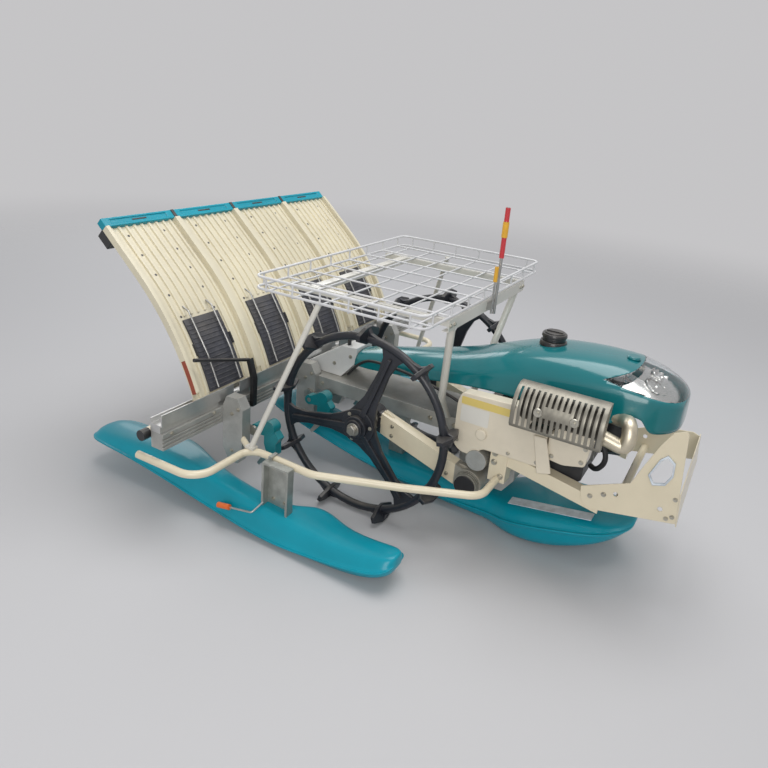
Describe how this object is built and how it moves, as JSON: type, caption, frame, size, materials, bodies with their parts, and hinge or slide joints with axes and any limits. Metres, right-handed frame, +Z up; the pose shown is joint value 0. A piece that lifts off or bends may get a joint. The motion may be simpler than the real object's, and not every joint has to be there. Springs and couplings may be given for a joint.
{
  "type": "walk-behind rice transplanter",
  "caption": "Walk-behind rice transplanter with lugged wheels on swing cases, sliding seedling tray, planting arms, floats, covered engine and spare seedling rack.",
  "frame": {"origin": "on the ground, under the centre of the box around the whole machine", "axes": "+X forward along the travel, +Y to the machine's left, +Z up"},
  "size_m": [2.1399, 1.59, 1.045],
  "materials": {
    "arm_teal": "enamel",
    "belt_rubber": "ribbed",
    "black_plastic": "matte",
    "bright_aluminium": "extruded",
    "cast_aluminium": "as cast",
    "clear_lens": "clear",
    "cream_paint": "gloss enamel",
    "dark_iron": "sooty",
    "dark_plastic": "matte",
    "float_teal": "moulded, satin",
    "galvanised": "galvanised",
    "grip_rubber": "matte",
    "hood_teal": "gloss",
    "lamp_chrome": "mirror",
    "marker_red": "gloss",
    "steel": "worn zinc",
    "tray_cream": "satin",
    "wheel_blue_black": "satin enamel",
    "white_paint": "satin",
    "white_wire": "satin enamel"
  },
  "bodies": {
    "chassis": {"centre_float": "float_teal", "control_panel": "black_plastic", "cross_tube": "cream_paint", "engine_block": "dark_iron", "engine_covers": "cream_paint", "engine_frame": "cream_paint", "float_brackets": "galvanised", "front_bumper": "cream_paint", "fuel_cap": "black_plastic", "hand_grips": "grip_rubber", "handlebars": "cream_paint", "headlamp": "clear_lens", "hood": "hood_teal", "lamp_reflector": "lamp_chrome", "link_cover": "white_paint", "main_beam": "cast_aluminium", "marker_pole": "steel", "marker_sleeves": "marker_red", "muffler": "steel", "muffler_guard": "steel", "planting_beam": "cast_aluminium", "planting_cases": "cast_aluminium", "rack_frame": "cream_paint", "seedling_stop": "dark_plastic", "side_float_left": "float_teal", "side_float_right": "float_teal", "side_guard_left": "cream_paint", "side_guard_right": "cream_paint", "side_markers": "steel", "spare_rack": "white_wire", "transmission_case": "cast_aluminium", "tray_rail": "bright_aluminium", "tray_support": "cream_paint"},
    "swing_right": {"swing_case_right": "cream_paint"},
    "swing_left": {"swing_case_left": "cream_paint"},
    "wheel_body_right": {"wheel_right": "wheel_blue_black", "axle_right": "steel"},
    "wheel_body_left": {"wheel_left": "wheel_blue_black", "axle_left": "steel"},
    "tray": {"seedling_tray": "tray_cream", "tray_caps": "hood_teal", "feed_belts": "belt_rubber", "seedling_rods": "steel"},
    "cranks": {"planting_cranks": "steel"},
    "arms": {"planting_arms": "arm_teal"}
  },
  "joints": [
    {"name": "tray_slide", "type": "slide", "parent": "chassis", "child": "tray", "axis": [0, 1, 0], "range_m": [-0.11, 0.15]},
    {"name": "crank_turn", "type": "hinge", "parent": "chassis", "child": "cranks", "pos_m": [-0.24, 0, 0.27], "axis": [0, 1, 0], "continuous": true},
    {"name": "arm_turn", "type": "hinge", "parent": "cranks", "child": "arms", "pos_m": [-0.21, 0, 0.27], "axis": [0, 1, 0], "continuous": true},
    {"name": "swing_right_turn", "type": "hinge", "parent": "chassis", "child": "swing_right", "pos_m": [0.46, -0.212, 0.205], "axis": [0, 1, 0], "range_deg": [-32, 4]},
    {"name": "wheel_right_turn", "type": "hinge", "parent": "swing_right", "child": "wheel_body_right", "pos_m": [0.095, -0.3, 0.32121], "axis": [0, 1, 0], "continuous": true},
    {"name": "swing_left_turn", "type": "hinge", "parent": "chassis", "child": "swing_left", "pos_m": [0.46, 0.212, 0.205], "axis": [0, 1, 0], "range_deg": [-32, 4]},
    {"name": "wheel_left_turn", "type": "hinge", "parent": "swing_left", "child": "wheel_body_left", "pos_m": [0.095, 0.3, 0.32121], "axis": [0, 1, 0], "continuous": true}
  ],
  "couplings": [
    {"joint": "arm_turn", "follows": "crank_turn", "ratio": -1}
  ]
}
